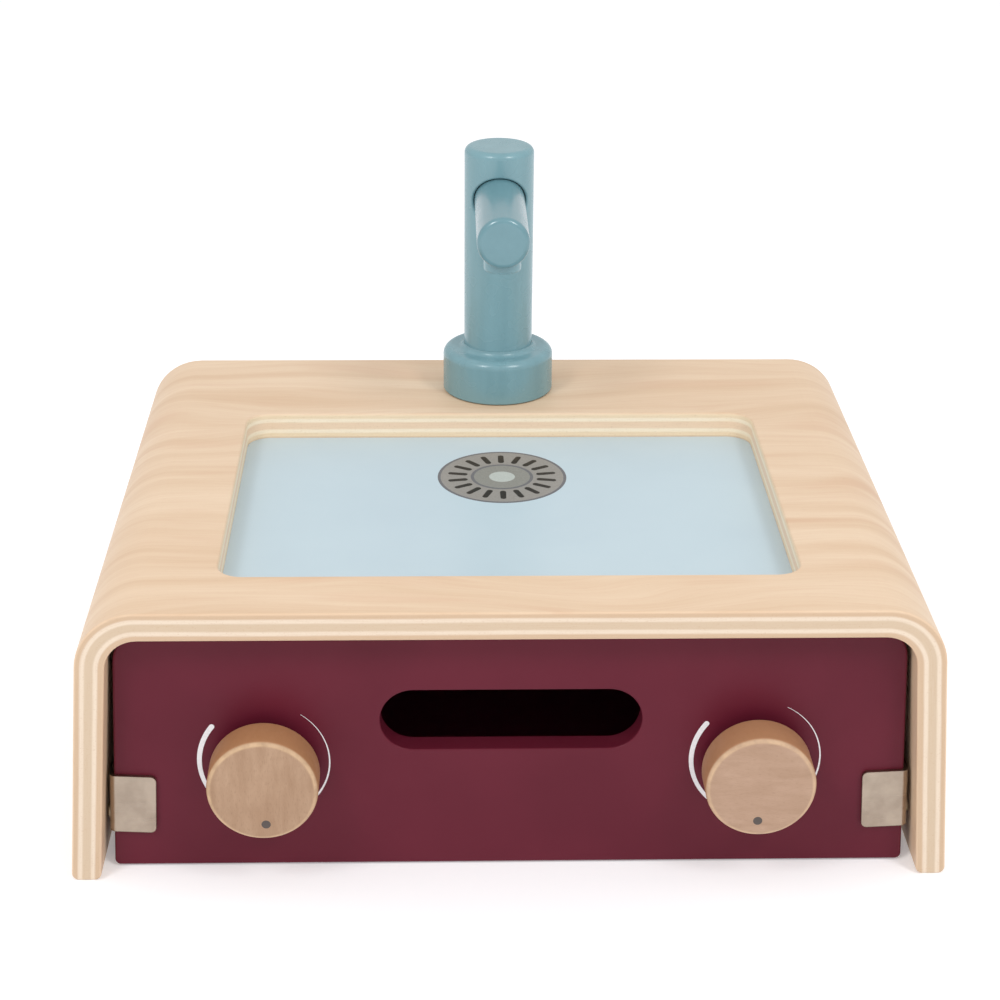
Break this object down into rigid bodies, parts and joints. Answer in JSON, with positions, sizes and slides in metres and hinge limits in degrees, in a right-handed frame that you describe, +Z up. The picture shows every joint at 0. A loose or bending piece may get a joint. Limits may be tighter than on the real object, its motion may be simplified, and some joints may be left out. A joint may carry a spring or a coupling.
{
  "type": "toy kitchen",
  "caption": "Tabletop toy kitchen: bent plywood bridge with a sunk basin, a swivelling wooden tap and a pull-out drawer whose front has a hand slot and turning knobs.",
  "frame": {"origin": "under the middle of the toy's box, on the surface that it stands on", "axes": "+Z up, the drawer front and the knobs face -Y, +X to the right of someone who faces the drawer"},
  "size_m": [0.2996, 0.2462, 0.2019],
  "materials": {
    "plywood": "five-ply birch, clear matt lacquer",
    "basin_paint": "pale blue satin paint on fibreboard",
    "front_paint": "burgundy satin paint on fibreboard",
    "tap_paint": "grey-blue satin paint on turned wood",
    "beech": "turned beech, clear matt lacquer",
    "plain_wood": "planed, unfinished",
    "nickel": "satin nickel plating",
    "zinc_steel": "zinc plating"
  },
  "bodies": {
    "cabinet": {"worktop_shell": "plywood", "sink_board": "basin_paint", "sink_board_screws": "zinc_steel", "back_panel": "front_paint", "left_back_batten": "plain_wood", "right_back_batten": "plain_wood", "back_panel_screws": "zinc_steel", "left_runner": "plain_wood", "right_runner": "plain_wood", "runner_screws": "zinc_steel"},
    "tap": {"tap_collar": "tap_paint", "tap_column": "tap_paint", "tap_spout": "tap_paint", "tap_nozzle": "tap_paint", "tap_bolt": "zinc_steel", "tap_washer": "zinc_steel", "tap_lock_nut": "zinc_steel"},
    "drawer": {"drawer_front": "front_paint", "drawer_left_side": "front_paint", "drawer_right_side": "front_paint", "drawer_back": "front_paint", "drawer_bottom": "front_paint", "drawer_dowels": "plain_wood", "left_corner_bracket": "nickel", "right_corner_bracket": "nickel", "left_bracket_screws": "zinc_steel", "right_bracket_screws": "zinc_steel"},
    "left_knob": {"left_knob": "beech", "left_knob_spindle": "plain_wood", "left_knob_washer": "zinc_steel", "left_knob_screw": "zinc_steel"},
    "right_knob": {"right_knob": "beech", "right_knob_spindle": "plain_wood", "right_knob_washer": "zinc_steel", "right_knob_screw": "zinc_steel"}
  },
  "joints": [
    {"name": "drawer_slide", "type": "slide", "parent": "cabinet", "child": "drawer", "axis": [0, -1, 0], "range_m": [0, 0.14]},
    {"name": "left_knob_turn", "type": "hinge", "parent": "drawer", "child": "left_knob", "pos_m": [-0.083, -0.1129, 0.0407], "axis": [0, -1, 0], "continuous": true},
    {"name": "right_knob_turn", "type": "hinge", "parent": "drawer", "child": "right_knob", "pos_m": [0.083, -0.1129, 0.0407], "axis": [0, -1, 0], "continuous": true},
    {"name": "tap_swivel", "type": "hinge", "parent": "cabinet", "child": "tap", "pos_m": [0, 0.0917, 0.15], "axis": [0, 0, 1], "continuous": true}
  ]
}
